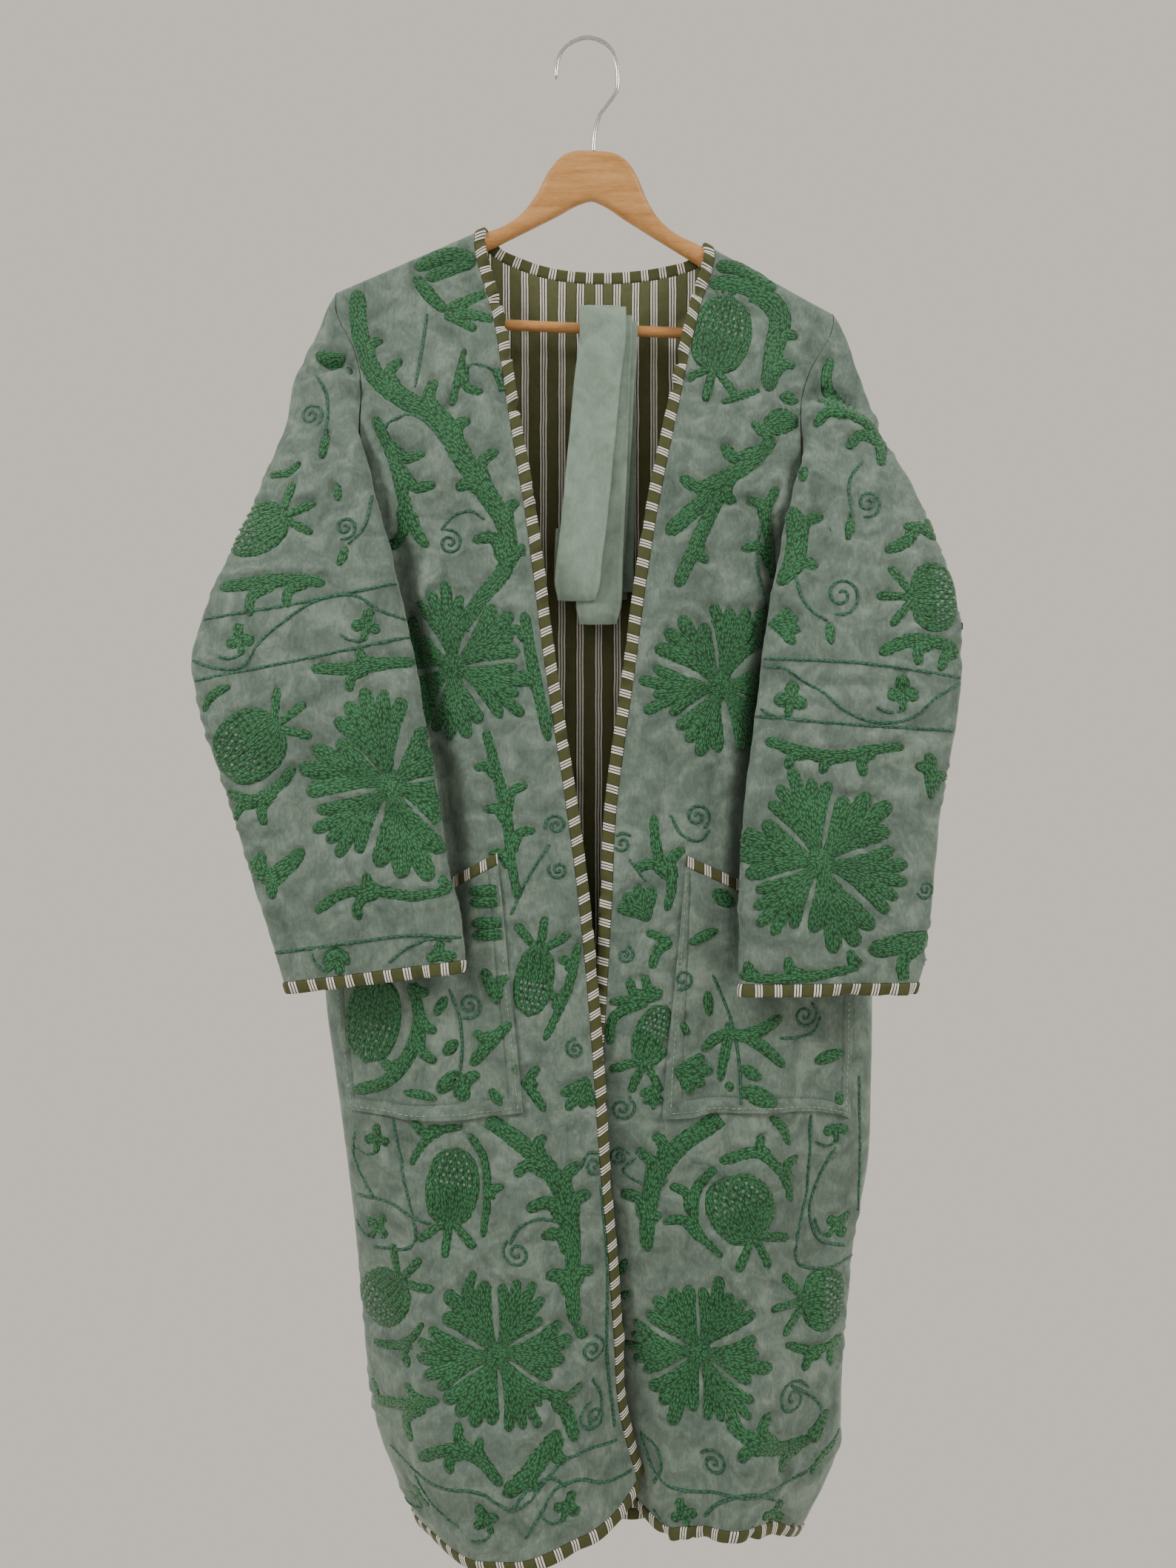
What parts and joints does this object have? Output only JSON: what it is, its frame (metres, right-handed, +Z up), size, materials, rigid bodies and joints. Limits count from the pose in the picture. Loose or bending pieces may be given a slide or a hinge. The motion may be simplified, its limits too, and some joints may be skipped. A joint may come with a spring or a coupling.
{
  "type": "chapan on a wooden coat hanger",
  "caption": "Long open velvet robe with embroidered panels, bound edges, patch pockets and a belt, hung on a wooden hanger.",
  "frame": {"origin": "underside of the top of the hanger's wire hook, where a peg or a rail would hold it", "axes": "+Z up, +Y towards the back of the robe, so that its front faces -Y; +X to the right for someone who faces its front"},
  "size_m": [0.652, 0.1149, 1.3061],
  "materials": {
    "embroidered_velvet": "sage velvet with raised emerald chain-stitch embroidery",
    "striped_lining": "olive and white woven stripes",
    "striped_binding": "olive and white woven stripes, folded over the edge",
    "plain_velvet": "plain pale sage velvet",
    "hanger_beech": "clear lacquer over beech",
    "hook_wire": "polished"
  },
  "bodies": {
    "root": {"front_left": "embroidered_velvet", "front_right": "embroidered_velvet", "back": "embroidered_velvet", "sleeve_left": "embroidered_velvet", "sleeve_right": "embroidered_velvet", "pocket_left": "embroidered_velvet", "pocket_right": "embroidered_velvet", "lining_back": "striped_lining", "binding_left": "striped_binding", "binding_right": "striped_binding", "binding_neck": "striped_binding", "hem_binding_left": "striped_binding", "hem_binding_right": "striped_binding", "hem_binding_back": "striped_binding", "cuff_binding_left": "striped_binding", "cuff_binding_right": "striped_binding", "pocket_binding_left": "striped_binding", "pocket_binding_right": "striped_binding", "belt_front": "plain_velvet", "belt_behind": "plain_velvet", "hanger_wood": "hanger_beech", "hanger_bar": "hanger_beech", "hanger_hook": "hook_wire"}
  },
  "joints": []
}
